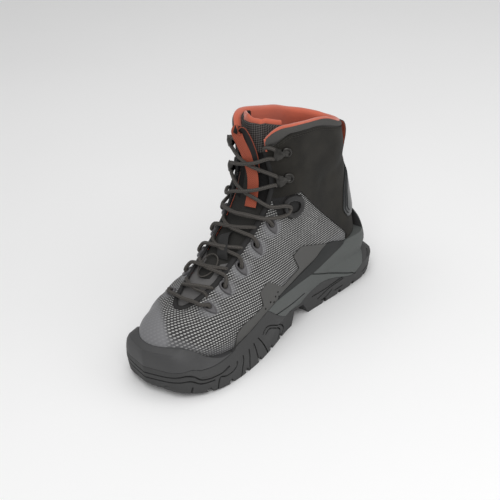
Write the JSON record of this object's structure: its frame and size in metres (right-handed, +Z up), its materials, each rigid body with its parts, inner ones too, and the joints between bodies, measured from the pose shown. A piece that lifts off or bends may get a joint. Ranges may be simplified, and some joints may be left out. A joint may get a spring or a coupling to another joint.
{
  "type": "wading boot",
  "caption": "Left wading boot with a wrapped rubber sole, woven upper, ankle panel, padded collar, laces, hooks and two pull loops.",
  "frame": {"origin": "on the floor under the heel's tread, in the middle of the boot", "axes": "+Y from heel to toe, +Z up, +X to the inner side of the foot"},
  "size_m": [0.1206, 0.3269, 0.226],
  "materials": {
    "sole_rubber": "matt dark grey moulded rubber",
    "toe_rubber": "matt dark grey rubber",
    "midsole_foam": "greenish grey, satin, with a light relief",
    "insole_cloth": "dark cloth",
    "woven_mesh": "dark grey mesh with light grey dots",
    "tongue_cloth": "dark grey cloth",
    "webbing": "orange webbing",
    "nubuck": "dark olive nubuck",
    "padded_cloth": "grey padded cloth",
    "glossy_mould": "dark, glossy, moulded",
    "dark_film": "dark film",
    "overlay_film": "dark grey film",
    "eyelet_mould": "dark, moulded",
    "moulded_loop": "near black, moulded",
    "gunmetal": "dark gunmetal",
    "lace": "taupe grey braid"
  },
  "bodies": {
    "root": {"ankle_loop_lateral": "moulded_loop", "ankle_loop_medial": "moulded_loop", "ankle_panel": "nubuck", "collar_band": "padded_cloth", "eyelet_tab_lateral_1": "eyelet_mould", "eyelet_tab_lateral_2": "eyelet_mould", "eyelet_tab_lateral_3": "eyelet_mould", "eyelet_tab_lateral_4": "eyelet_mould", "eyelet_tab_lateral_5": "eyelet_mould", "eyelet_tab_medial_1": "eyelet_mould", "eyelet_tab_medial_2": "eyelet_mould", "eyelet_tab_medial_3": "eyelet_mould", "eyelet_tab_medial_4": "eyelet_mould", "eyelet_tab_medial_5": "eyelet_mould", "heel_clip": "glossy_mould", "heel_loop": "webbing", "hook_lateral_1": "gunmetal", "hook_lateral_2": "gunmetal", "hook_medial_1": "gunmetal", "hook_medial_2": "gunmetal", "insole": "insole_cloth", "lace_bar": "lace", "lace_cross_1": "lace", "lace_cross_2": "lace", "lace_cross_3": "lace", "lace_cross_4": "lace", "lace_cross_5": "lace", "lace_cross_6": "lace", "lace_cross_7": "lace", "midsole": "midsole_foam", "outsole": "sole_rubber", "side_overlay_lateral": "overlay_film", "side_overlay_medial": "overlay_film", "side_wedge_lateral": "dark_film", "side_wedge_medial": "dark_film", "toe_cap": "toe_rubber", "tongue": "tongue_cloth", "tongue_strap": "webbing", "upper": "woven_mesh"}
  },
  "joints": []
}
